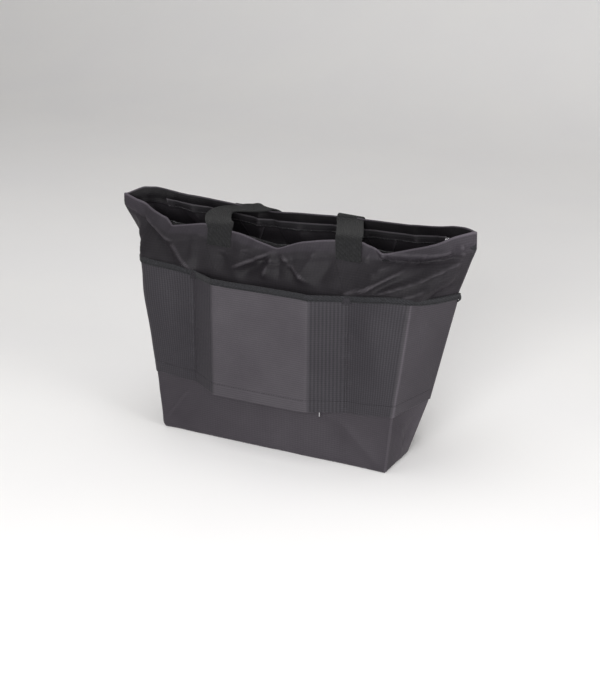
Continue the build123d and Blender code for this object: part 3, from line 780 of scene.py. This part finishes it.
print("zips")
topZip = {
    # side: drop and inset of the sewn edge, drop and inset of the coil, share of the wall that it spans
    rear: {"rootDrop": 13.0, "rootIn": 4.4, "coilHeight": 305.5, "coilIn": 10.0, "reach": 0.90},
    front: {"rootDrop": 13.0, "rootIn": 3.6, "coilHeight": None, "coilIn": 4.0, "coilDrop": 25.0,
            "reach": 0.78},
}
threads = []
tapes, coils = [], []
for name, side in (("rear", rear), ("front", front)):
    plan = topZip[side]
    t = np.linspace(-plan["reach"], plan["reach"], 220)
    u = unfolded(t, 320.0)
    wobble = 1.1 * noiseField(u, np.zeros_like(u), 26, 15.0 + side)
    rim = rimHeight(side, u)
    if plan["coilHeight"]:
        high = plan["coilHeight"] + wobble + np.interp(np.abs(u), [0, 60, 190, 260], [-6, 0, 2, 8])
    else:
        high = rim - plan["coilDrop"]
    root = wallPoint(t, rim - plan["rootDrop"], side, -plan["rootIn"])
    edge = wallPoint(t, high, side, -plan["coilIn"] + wobble * 0.5)
    tapes.append(stripMesh(name + "ZipTape", root, edge, 0.7, bow=0.8))
    coils.append(tubesMesh(name + "ZipCoil", [coilPath(edge + [0, 0, 0.6], (0, -side * 0.5, 1))],
                           zipShape["wire"], 5))


def closedZip(name, low, high, tapeHeight, outward):
    x = np.linspace(low.x / mm, high.x / mm, 140)
    y, z = (low.y + high.y) / 2 / mm, high.z / mm
    halves = []
    for sign in (-1, 1):
        line = np.stack([x, np.full_like(x, y), np.full_like(x, z + sign * zipShape["halfGap"])], -1)
        halves.append(coilPath(line, (0, outward, 0)))
        edge = np.stack([x, np.full_like(x, y), np.full_like(x, z + sign * 0.5)], -1)
        far = np.stack([x, np.full_like(x, y - outward * 0.9), np.full_like(x, z + sign * tapeHeight)], -1)
        tapes.append(stripMesh(name + ("Upper" if sign > 0 else "Lower") + "Tape", edge, far, 0.6))
    coils.append(tubesMesh(name + "Coil", halves, zipShape["wire"], 5))


closedZip("sleeveZip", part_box("sleeve_lower_chain")[0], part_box("sleeve_lower_chain")[1], 13.0, -1)
closedZip("stowZip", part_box("stow_zip_chain")[0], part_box("stow_zip_chain")[1], 9.0, -1)


def makeStops(name, node):
    low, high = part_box(node)
    paths = []
    for x in (low.x / mm + 1.2, high.x / mm - 1.2):
        y = (low.y + high.y) / 2 / mm
        z0, z1 = low.z / mm + 0.4, high.z / mm - 0.4
        wobble = np.linspace(z0, z1, 7)
        paths.append(np.stack([np.full(7, x), y - 0.5 * np.sin(np.linspace(0, math.pi, 7)), wobble], -1))
    return tubesMesh(name, paths, 0.9, 8)


pullShape = {"longer": 11.0, "bevel": 0.3, "sides": 40, "slotWidth": 2.0, "slotLength": 3.4}


def makePull():                               # a flat tab with an eye; it hangs out below the band's hem
    low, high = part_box("sleeve_zip_pull")
    middle, half = (low.y + high.y) / 2 / mm, (high.y - low.y) / 2 / mm
    bottom, top = low.z / mm - pullShape["longer"], high.z / mm
    ring = np.linspace(0, 2 * math.pi, pullShape["sides"], endpoint=False)

    def outline(width, lowEnd, highEnd):
        centre = np.where(np.sin(ring) > 0, highEnd - width, lowEnd + width)
        return middle + width * np.cos(ring), centre + width * np.sin(ring)

    eyeTop = top - (half - pullShape["slotWidth"] / 2)
    eye = (pullShape["slotWidth"] / 2, eyeTop - pullShape["slotLength"], eyeTop)
    bevel = pullShape["bevel"]
    left, right = low.x / mm, high.x / mm
    rows = []
    for x, shrink, inner in ((left, bevel, False), (left + bevel, 0, False), (right - bevel, 0, False),
                             (right, bevel, False), (right, 0, True), (left, 0, True),
                             (left, bevel, False)):
        y, z = outline(*eye) if inner else outline(half - shrink, bottom + shrink, top - shrink)
        rows.append(np.stack([np.full_like(y, x), y, z], -1))
    return gridMesh("sleevePull", np.array(rows), closed=True)


sleevePull = makePull()
sleeveStops = makeStops("sleeveStops", "sleeve_zip_stops")
stowStops = makeStops("stowStops", "stow_zip_stops")

tailLow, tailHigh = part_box("top_zip_tail")
tailCoilLow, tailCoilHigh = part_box("top_zip_tail_chain")


# at the bag, at the free end
tailShape = {"halfWidth": (13.0, 4.0), "middle": (-2.6, -5.2), "thickness": 0.8}


def makeTail():
    x = np.linspace(tailLow.x / mm, tailHigh.x / mm, 14)
    z = (tailLow.z + tailHigh.z) / 2 / mm
    share = (x - x[0]) / (x[-1] - x[0])
    edge = np.interp(share, [0, 1], tailShape["halfWidth"])
    middle = np.interp(share, [0, 1], tailShape["middle"])
    rows = []
    for s in np.linspace(-1, 1, 11):
        rows.append(np.stack([x, middle + edge * s, np.full_like(x, z + 0.5 * np.cos(s * 3))], -1))
    uv = np.stack(np.broadcast_arrays(x[None], np.linspace(-13, 13, 11)[:, None]), -1)
    cloth = gridMesh("zipTail", rows, uv, tailShape["thickness"])
    xs = np.linspace(tailCoilLow.x / mm, tailCoilHigh.x / mm, 20)
    along = np.linspace(*tailShape["middle"], 20)
    lines = [coilPath(np.stack([xs, along + s * zipShape["halfGap"], np.full_like(xs, z + 1.0)], -1),
                      (0, 0, 1))
             for s in (-1, 1)]
    return cloth, tubesMesh("zipTailCoil", lines, zipShape["wire"], 5)


zipTail, zipTailCoil = makeTail()

pocketLow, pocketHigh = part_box("stow_pocket")


pocketShape = {"halfWidth": 90, "inset": 3.2, "loose": 3.5, "thickness": 0.8}


def makePocket():
    x = np.linspace(pocketLow.x / mm, pocketHigh.x / mm, 70)
    z = np.linspace(pocketLow.z / mm, pocketHigh.z / mm, 50)[:, None]
    xx, zz = np.broadcast_arrays(x[None], z)
    cx, cz = xx / pocketShape["halfWidth"], (zz - z.mean()) / (z.max() - z.min()) * 2
    loose = pocketShape["loose"] * np.clip(1 - cx ** 2, 0, 1) ** 0.5 * np.clip(1 - cz ** 4, 0, 1)
    loose = loose * (0.8 + 0.5 * noiseField(xx, zz, 40, 3.3))
    y = levelAt(zz)[2] - pocketShape["inset"] - loose
    return gridMesh("stowPocket", np.stack([xx, y, zz], -1), np.stack([xx, zz], -1),
                    pocketShape["thickness"])


stowPocket = makePocket()


patchShape = {"centres": (-100, 112), "halfWidth": 24, "low": 258, "high": 300, "lift": -1.6,
              "thickness": 0.6}


def makePatches(name, side):                  # behind the handle ends, narrower towards the foot
    pieces = []
    uv = np.stack(np.broadcast_arrays(np.linspace(0, 48, 14)[None], np.linspace(0, 56, 20)[:, None]), -1)
    for label, centre in zip(("Left", "Right"), patchShape["centres"]):
        x = np.linspace(-patchShape["halfWidth"], patchShape["halfWidth"], 14)[None]
        z = np.linspace(patchShape["low"], patchShape["high"], 20)[:, None]
        narrow = np.clip((z - 250) / 50, 0.3, 1)
        uu, zz = np.broadcast_arrays(centre + x * narrow, z)
        points = wallPoint(tOf(uu, zz), zz, side, patchShape["lift"])
        pieces.append(gridMesh(name + label, points, uv, patchShape["thickness"]))
    return pieces


rearPatches = makePatches("rearPatch", rear)
frontPatches = makePatches("frontPatch", front)

print("stitching")
threadLift = bagShape["cloth"] / 2 + threadStitch["proud"]
for side in (rear, front):
    t = np.linspace(-0.985, 0.985, 500)
    u = unfolded(t, 310.0)
    threads += stitches(wallPoint(t, rimHeight(side, u) - bagShape["hemDepth"], side, threadLift))
    threads += stitches(wallPoint(t, rimHeight(side, u) - bagShape["facingDepth"] + 3, side, -4.4))
    for centre, spread in ((-92, 20), (112, 20)):
        for sign in (-1, 1):
            threads += stitches(wallLine(side, ((centre + sign * spread, 294), (centre + 3, 257)),
                                         threadLift))
t = np.linspace(-0.985, 0.985, 500)
topLine = bandEdge("top", unfolded(t, 256.0))
threads += stitches(bandPoint(t, topLine - 4.9, rear, 2.0))
lowLine = bandEdge("bottom", unfolded(t, 88.0))
threads += stitches(bandPoint(t, lowLine + 16, rear, 0.75))
for u0 in (-122, -119.5, 119.5, 122):
    threads += stitches(wallLine(rear, ((u0, 90), (u0, 241)), 0.75, surface=bandPoint))
threadWork = tubesMesh("threadWork", threads, threadStitch["radius"], 5)

tackShape = {"width": 11.0, "count": 13}


def makeBarTacks():
    paths = []
    for u0 in (-121, 121):
        top = float(bandEdge("top", np.array([u0]))[0])
        for k in range(tackShape["count"]):
            z = top - 1.0 - k * 0.72
            u = u0 + np.linspace(-1, 1, 5) * tackShape["width"] / 2 * (1 if k % 2 else 0.9)
            zz = np.full(5, z) + np.linspace(-0.3, 0.3, 5)
            paths.append(bandPoint(tOf(u, zz), zz, rear, 2.05))
    return tubesMesh("barTacks", paths, 0.36, 5)


barTacks = makeBarTacks()


def srgb(code):
    parts = [int(code[k:k + 2], 16) / 255 for k in (1, 3, 5)]
    return [p / 12.92 if p <= 0.04045 else ((p + 0.055) / 1.055) ** 2.4 for p in parts] + [1.0]


def addNode(tree, kind, settings=None, links=None):
    node = tree.nodes.new(kind)
    for key, value in (settings or {}).items():
        if isinstance(key, int) or key in node.inputs:
            node.inputs[key].default_value = value
        else:
            setattr(node, key, value)
    for key, (source, output) in (links or {}).items():
        tree.links.new(source.outputs[output], node.inputs[key])
    return node


def newMaterial(name):
    material = bpy.data.materials.new(name)
    material.use_nodes = True
    tree = material.node_tree
    tree.nodes.clear()
    return material, tree


def finishMaterial(tree, settings, links):
    shader = addNode(tree, "ShaderNodeBsdfPrincipled", settings, links)
    addNode(tree, "ShaderNodeOutputMaterial", None, {"Surface": (shader, 0)})
    return shader


def ramp(tree, source, output, stops):
    node = addNode(tree, "ShaderNodeValToRGB", None, {0: (source, output)})
    while len(node.color_ramp.elements) < len(stops):
        node.color_ramp.elements.new(0.5)
    for element, (place, code) in zip(node.color_ramp.elements, stops):
        element.position = place
        element.color = srgb(code)
    return node


def multiply(tree, first, second, settings=None, links=None):
    mixing = {"data_type": "RGBA", "blend_type": "MULTIPLY", **(settings or {})}
    return addNode(tree, "ShaderNodeMix", mixing, {**(links or {}), 6: first, 7: second})


clothLook = {"ribMm": 4.4, "weftMm": 3.1, "ribTone": 0.34, "weftTone": 0.2, "waveUnit": 2 * math.pi / 20}


def ripstopNylon(name, across, upward, ribs):
    # coated ripstop nylon, woven: soft satin face, fine raised ribs; the across and upward ramps paint
    # light and shade into the colour, by place across the cloth and by height
    material, tree = newMaterial(name)
    place = addNode(tree, "ShaderNodeTexCoord")
    split = addNode(tree, "ShaderNodeSeparateXYZ", None, {0: (place, "UV")})
    sideways = addNode(tree, "ShaderNodeMath", {"operation": "ABSOLUTE"}, {0: (split, 0)})
    # ribs of 0.4 mm drawn ten times as coarse, so that they show
    warp = addNode(tree, "ShaderNodeTexWave", {"Scale": clothLook["waveUnit"] / (clothLook["ribMm"] * mm),
                                               "Distortion": 0.25, "Detail": 1.0, "bands_direction": "X"},
                   {"Vector": (place, "UV")})
    weft = addNode(tree, "ShaderNodeTexWave", {"Scale": clothLook["waveUnit"] / (clothLook["weftMm"] * mm),
                                               "Distortion": 0.25, "Detail": 1.0, "bands_direction": "Y"},
                   {"Vector": (place, "UV")})
    blotch = addNode(tree, "ShaderNodeTexNoise", {"Scale": 9.0, "Detail": 4.0, "Roughness": 0.6},
                     {"Vector": (place, "Object")})
    grain = addNode(tree, "ShaderNodeTexNoise", {"Scale": 900.0, "Detail": 2.0}, {"Vector": (place, "UV")})
    spanX = addNode(tree, "ShaderNodeMapRange", {1: 0.0, 2: 0.3}, {0: (sideways, 0)})
    spanY = addNode(tree, "ShaderNodeMapRange", {1: 0.0, 2: 0.36}, {0: (split, 1)})
    toneX = ramp(tree, spanX, 0, across)
    toneY = ramp(tree, spanY, 0, upward)
    # painted light and shade: the across and upward ramps multiplied, lighter or darker by where the cloth
    # lies
    paintedShading = multiply(tree, (toneX, 0), (toneY, 0), {0: 1.0})
    mottle = ramp(tree, blotch, 0, [(0.3, "#e2e0e3"), (0.7, "#ffffff")])
    tone = multiply(tree, (paintedShading, 2), (mottle, 0), {0: 1.0})
    where = ramp(tree, spanX, 0, ribs)                       # where the warp ribs stand out
    warpShare = addNode(tree, "ShaderNodeMath", {"operation": "MULTIPLY", 1: clothLook["ribTone"]},
                        {0: (where, 0)})
    ribbed = multiply(tree, (tone, 2), (warp, "Color"), None, {0: (warpShare, 0)})
    woven = multiply(tree, (ribbed, 2), (weft, "Color"), {0: clothLook["weftTone"]})
    # painted highlight: convex crests, found by pointiness, are lightened towards #6f6a70
    shape = addNode(tree, "ShaderNodeNewGeometry")
    crestHighlight = addNode(tree, "ShaderNodeMapRange", {1: 0.52, 2: 0.6, 3: 0.0, 4: 0.22},
                       {0: (shape, "Pointiness")})
    crestHighlightTone = addNode(tree, "ShaderNodeMix", {"data_type": "RGBA", 7: srgb("#6f6a70")},
                    {0: (crestHighlight, 0), 6: (woven, 2)})
    warpHeight = addNode(tree, "ShaderNodeMath", {"operation": "MULTIPLY", 1: 0.5}, {0: (warp, "Fac")})
    weftHeight = addNode(tree, "ShaderNodeMath", {"operation": "MULTIPLY_ADD", 1: 0.4},
                         {0: (weft, "Fac"), 2: (warpHeight, 0)})
    height = addNode(tree, "ShaderNodeMath", {"operation": "MULTIPLY_ADD", 1: 0.25},
                     {0: (grain, 0), 2: (weftHeight, 0)})
    bump = addNode(tree, "ShaderNodeBump", {"Strength": 0.3, "Distance": 0.0005}, {"Height": (height, 0)})
    gloss = addNode(tree, "ShaderNodeMapRange", {1: 0.3, 2: 0.7, 3: 0.56, 4: 0.7}, {0: (blotch, 0)})
    finishMaterial(tree, {"Specular IOR Level": 0.13, "IOR": 1.5, "Sheen Weight": 0.04,
                          "Sheen Roughness": 0.5,
                          "Sheen Tint": srgb("#b7a9b8")},
                   {"Base Color": (crestHighlightTone, 2), "Roughness": (gloss, 0), "Normal": (bump, 0)})
    return material


def wovenTape(name, dark, light, pitchMm, roughness):
    # woven polyester webbing and tape: dull, with close ribs along it and a herringbone across them
    material, tree = newMaterial(name)
    place = addNode(tree, "ShaderNodeTexCoord")
    rib = addNode(tree, "ShaderNodeTexWave", {"Scale": clothLook["waveUnit"] / (pitchMm * mm),
                                              "Distortion": 0.4, "Detail": 2.0,
                                              "bands_direction": "X"}, {"Vector": (place, "UV")})
    pick = addNode(tree, "ShaderNodeTexWave", {"Scale": clothLook["waveUnit"] / (pitchMm * mm),
                                               "Distortion": 0.4, "Detail": 2.0,
                                               "bands_direction": "DIAGONAL"}, {"Vector": (place, "UV")})
    fuzz = addNode(tree, "ShaderNodeTexNoise", {"Scale": 260.0, "Detail": 3.0},
                   {"Vector": (place, "Object")})
    tone = ramp(tree, fuzz, 0, [(0.3, dark), (0.7, light)])
    shade = multiply(tree, (tone, 0), (pick, "Color"), {0: 0.3})
    height = addNode(tree, "ShaderNodeMath", {"operation": "ADD"}, {0: (rib, "Fac"), 1: (pick, "Fac")})
    bump = addNode(tree, "ShaderNodeBump", {"Strength": 0.5, "Distance": 0.0005}, {"Height": (height, 0)})
    finishMaterial(tree, {"Roughness": roughness, "Specular IOR Level": 0.12, "Sheen Weight": 0.04,
                          "Sheen Roughness": 0.6}, {"Base Color": (shade, 2), "Normal": (bump, 0)})
    return material


def mouldedNylonCoil(name, code):
    # monofilament nylon zip coil, extruded: black and slightly glossy
    material, tree = newMaterial(name)
    place = addNode(tree, "ShaderNodeTexCoord")
    speck = addNode(tree, "ShaderNodeTexNoise", {"Scale": 400.0, "Detail": 2.0},
                    {"Vector": (place, "Object")})
    tone = ramp(tree, speck, 0, [(0.3, code), (0.7, "#28272a")])
    finishMaterial(tree, {"Roughness": 0.32, "IOR": 1.53}, {"Base Color": (tone, 0)})
    return material


def spunThread(name, dark, light):
    # bonded polyester sewing thread: twisted, faintly shiny
    material, tree = newMaterial(name)
    place = addNode(tree, "ShaderNodeTexCoord")
    twist = addNode(tree, "ShaderNodeTexNoise", {"Scale": 1500.0, "Detail": 1.0},
                    {"Vector": (place, "Object")})
    tone = ramp(tree, twist, 0, [(0.3, dark), (0.7, light)])
    bump = addNode(tree, "ShaderNodeBump", {"Strength": 0.4, "Distance": 0.0002}, {"Height": (twist, 0)})
    finishMaterial(tree, {"Roughness": 0.7, "Specular IOR Level": 0.08},
                   {"Base Color": (tone, 0), "Normal": (bump, 0)})
    return material


def nickelPlate(name):
    # nickel-plated zinc, die cast: bright, with fine scratches from use
    material, tree = newMaterial(name)
    place = addNode(tree, "ShaderNodeTexCoord")
    scratch = addNode(tree, "ShaderNodeTexNoise", {"Scale": 700.0, "Detail": 3.0},
                      {"Vector": (place, "Object")})
    rough = addNode(tree, "ShaderNodeMapRange", {1: 0.3, 2: 0.7, 3: 0.16, 4: 0.34}, {0: (scratch, 0)})
    bump = addNode(tree, "ShaderNodeBump", {"Strength": 0.1, "Distance": 0.0001}, {"Height": (scratch, 0)})
    finishMaterial(tree, {"Base Color": srgb("#c9c8cb"), "Metallic": 1.0},
                   {"Roughness": (rough, 0), "Normal": (bump, 0)})
    return material


print("materials")
plain = [(0.0, "#ffffff"), (1.0, "#ffffff")]
evenRibs = [(0.0, "#808080"), (1.0, "#808080")]
# painted light and shade: across, lighter towards the side seams; upward, a lighter lower body, a darker
# upper body, a lighter hem, a painted highlight along the rim, and painted shade on the facing inside the
# mouth
bodyNylon = ripstopNylon("bodyNylon", [(0.0, "#6a666b"), (0.66, "#625e63"), (0.74, "#605c61"),
                                       (0.95, "#757076")],
                         [(0.0, "#9f9da0"), (0.26, "#989699"), (0.75, "#5a595b"), (0.86, "#686769"),
                          (0.88, "#7b797d"), (0.915, "#807e82"), (0.926, "#848286"), (0.930, "#c2bfc4"),
                          (0.937, "#b4b1b6"),
                          (0.941, "#373638"), (1.0, "#373638")], evenRibs)
# painted light and shade: the sleeve face is lighter than the slip pocket facets and the gusset ends, and a
# narrow painted highlight runs along each corner crease
bandNylon = ripstopNylon("bandNylon", [(0.0, "#434044"), (0.245, "#434044"), (0.258, "#353337"),
                                       (0.69, "#363438"),
                                       (0.702, "#383639"), (0.707, "#4b474c"), (0.713, "#3d3a3e"),
                                       (1.0, "#383539")],
                         plain, [(0.0, "#101010"), (0.245, "#101010"), (0.26, "#ffffff"), (0.69, "#ffffff"),
                                 (0.71, "#303030"), (1.0, "#303030")])
facingNylon = ripstopNylon("facingNylon", [(0.0, "#232224"), (1.0, "#232224")], plain, evenRibs)
liningNylon = ripstopNylon("liningNylon", [(0.0, "#232124"), (1.0, "#232124")], plain, evenRibs)
handleWebbing = wovenTape("handleWebbing", "#151516", "#1d1d1e", 3.2, 0.8)
ribbedBinding = wovenTape("ribbedBinding", "#1f1f21", "#27272a", 2.4, 0.78)
zipTapeWeave = wovenTape("zipTapeWeave", "#121113", "#171619", 2.0, 0.8)
zipCoilNylon = mouldedNylonCoil("zipCoilNylon", "#151416")
sewingThread = spunThread("sewingThread", "#19181a", "#1e1c1f")
tackThread = spunThread("tackThread", "#262528", "#38363a")
nickel = nickelPlate("nickel")


def dress(piece, material, body, slot, *nodes):
    piece.data.materials.clear()
    piece.data.materials.append(material)
    if body:
        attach(piece, body)
    if nodes:
        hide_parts(*nodes)
    return piece


dress(rearWall, bodyNylon, "bag", "body_cloth", "back_panel", "back_facing")
dress(frontWall, bodyNylon, "bag", "body_cloth", "front_panel", "front_facing")
dress(baseCloth, bodyNylon, "bag", "body_cloth", "base_panel")
dress(trolleyBand, bandNylon, "bag", "band_cloth", "back_band")
dress(bandBinding, ribbedBinding, "bag", "binding", "band_binding")
dress(sideSeamLeft, ribbedBinding, "bag", "binding", "side_seam_left")
dress(sideSeamRight, ribbedBinding, "bag", "binding", "side_seam_right")
for tab in bindingTabs:
    dress(tab, ribbedBinding, "bag", "binding")
zipNodes = {
    "rearZipTape": ["back_zip_tape"], "frontZipTape": ["front_zip_tape"],
    "rearZipCoil": ["back_zip_chain"], "frontZipCoil": ["front_zip_chain"],
    "sleeveZipUpperTape": ["sleeve_upper_tape"], "sleeveZipLowerTape": ["sleeve_lower_tape"],
    "sleeveZipCoil": ["sleeve_upper_chain", "sleeve_lower_chain"],
    "stowZipUpperTape": ["stow_zip_tape"], "stowZipLowerTape": ["stow_zip_tape"],
    "stowZipCoil": ["stow_zip_chain"],
}
for tape in tapes:
    dress(tape, facingNylon if tape.name == "frontZipTape" else zipTapeWeave, "bag", "zip_tape",
          *zipNodes[tape.name])
for coil in coils:
    dress(coil, zipCoilNylon, "bag", "zip_coil", *zipNodes[coil.name])
dress(zipTail, zipTapeWeave, "bag", "zip_tape", "top_zip_tail")
dress(zipTailCoil, zipCoilNylon, "bag", "zip_coil", "top_zip_tail_chain")
dress(sleevePull, nickel, "sleeve_pull", "metal", "sleeve_zip_pull")
dress(sleeveStops, nickel, "bag", "metal", "sleeve_zip_stops")
dress(stowStops, nickel, "bag", "metal", "stow_zip_stops")
dress(stowPocket, liningNylon, "bag", "lining_cloth", "stow_pocket")
for patch in rearPatches:
    dress(patch, liningNylon, "bag", "lining_cloth", "back_handle_patches")
for patch in frontPatches:
    dress(patch, liningNylon, "bag", "lining_cloth", "front_handle_patches")
dress(threadWork, sewingThread, "bag", "thread")
dress(barTacks, tackThread, "bag", "thread", "bar_tacks")
for node in ("top_zip_slider", "top_zip_pull", "sleeve_zip_slider", "stow_zip_slider", "stow_zip_pull"):
    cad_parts[node].data.materials.clear()
    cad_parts[node].data.materials.append(nickel)

for strap in (rearStrapRight, rearStrapLeft):
    dress(strap, handleWebbing, None, "webbing", "back_handle_ends", "back_handle_legs")
    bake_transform(strap)
dress(rearLoop, handleWebbing, None, "webbing", "back_handle_loop")
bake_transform(rearLoop)
dress(frontStrap, handleWebbing, None, "webbing", "front_handle_ends", "front_handle_loop")
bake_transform(frontStrap)
print("dressed")

stageLook = {"floor": "#eeedec", "world": 0.42}


def makeStage():
    size = 6.0
    rows = []
    for share in np.linspace(0, 1, 24):
        if share < 0.7:
            y, z = -size + share / 0.7 * (size + 2.0), 0.0
        else:
            angle = (share - 0.7) / 0.3 * math.pi / 2
            y, z = 2.0 + 1.5 * math.sin(angle), 1.5 * (1 - math.cos(angle))
        rows.append([(x * 1000, y * 1000, z * 1000 - 0.6) for x in np.linspace(-size, size, 12)])
    rows.append([(x * 1000, 3500, 5000) for x in np.linspace(-size, size, 12)])
    floor = gridMesh("stageFloor", rows)
    material, tree = newMaterial("paperSweep")
    place = addNode(tree, "ShaderNodeTexCoord")
    mottle = addNode(tree, "ShaderNodeTexNoise", {"Scale": 3.0}, {"Vector": (place, "Object")})
    tone = ramp(tree, mottle, 0, [(0.3, stageLook["floor"]), (0.7, "#ecebeb")])
    finishMaterial(tree, {"Roughness": 0.9, "Specular IOR Level": 0.1}, {"Base Color": (tone, 0)})
    floor.data.materials.append(material)
    floor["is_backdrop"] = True


makeStage()
lights = [
    # place, target, power, width, height
    ((0.75, -2.7, 1.0), (0, 0, 0.15), 95.0, 1.5, 1.1),
    ((-0.3, -0.2, 2.9), (0, 0, 0.2), 26.0, 2.4, 2.4),
    ((2.5, -0.7, 0.8), (0, 0, 0.15), 28.0, 1.0, 1.2),
]
for place, target, power, width, height in lights:
    data = bpy.data.lights.new("softbox", "AREA")
    data.energy, data.shape, data.size, data.size_y = power, "RECTANGLE", width, height
    lamp = bpy.data.objects.new("softbox", data)
    lamp.location = place
    lamp.rotation_mode = "QUATERNION"
    lamp.rotation_quaternion = (Vector(target) - Vector(place)).to_track_quat("-Z", "Y")
    bpy.context.scene.collection.objects.link(lamp)
world = bpy.data.worlds.new("room")
world.use_nodes = True
world.node_tree.nodes["Background"].inputs[0].default_value = srgb("#f4f3f2")
world.node_tree.nodes["Background"].inputs[1].default_value = stageLook["world"]
bpy.context.scene.world = world

cameraSet = {"place": (0.8532, -1.6494, 0.8213), "target": (0.0547, -0.0890, 0.1729), "lens": 70.28}
cameraData = bpy.data.cameras.new("camera")
cameraData.lens = cameraSet["lens"]
cameraData.sensor_width = 36.0
camera = bpy.data.objects.new("camera", cameraData)
camera.location = cameraSet["place"]
camera.rotation_mode = "QUATERNION"
view = Vector(cameraSet["target"]) - Vector(cameraSet["place"])
camera.rotation_quaternion = view.to_track_quat("-Z", "Y")
bpy.context.scene.collection.objects.link(camera)
bpy.context.scene.camera = camera
bpy.context.scene.view_settings.view_transform = "Standard"

low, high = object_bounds()
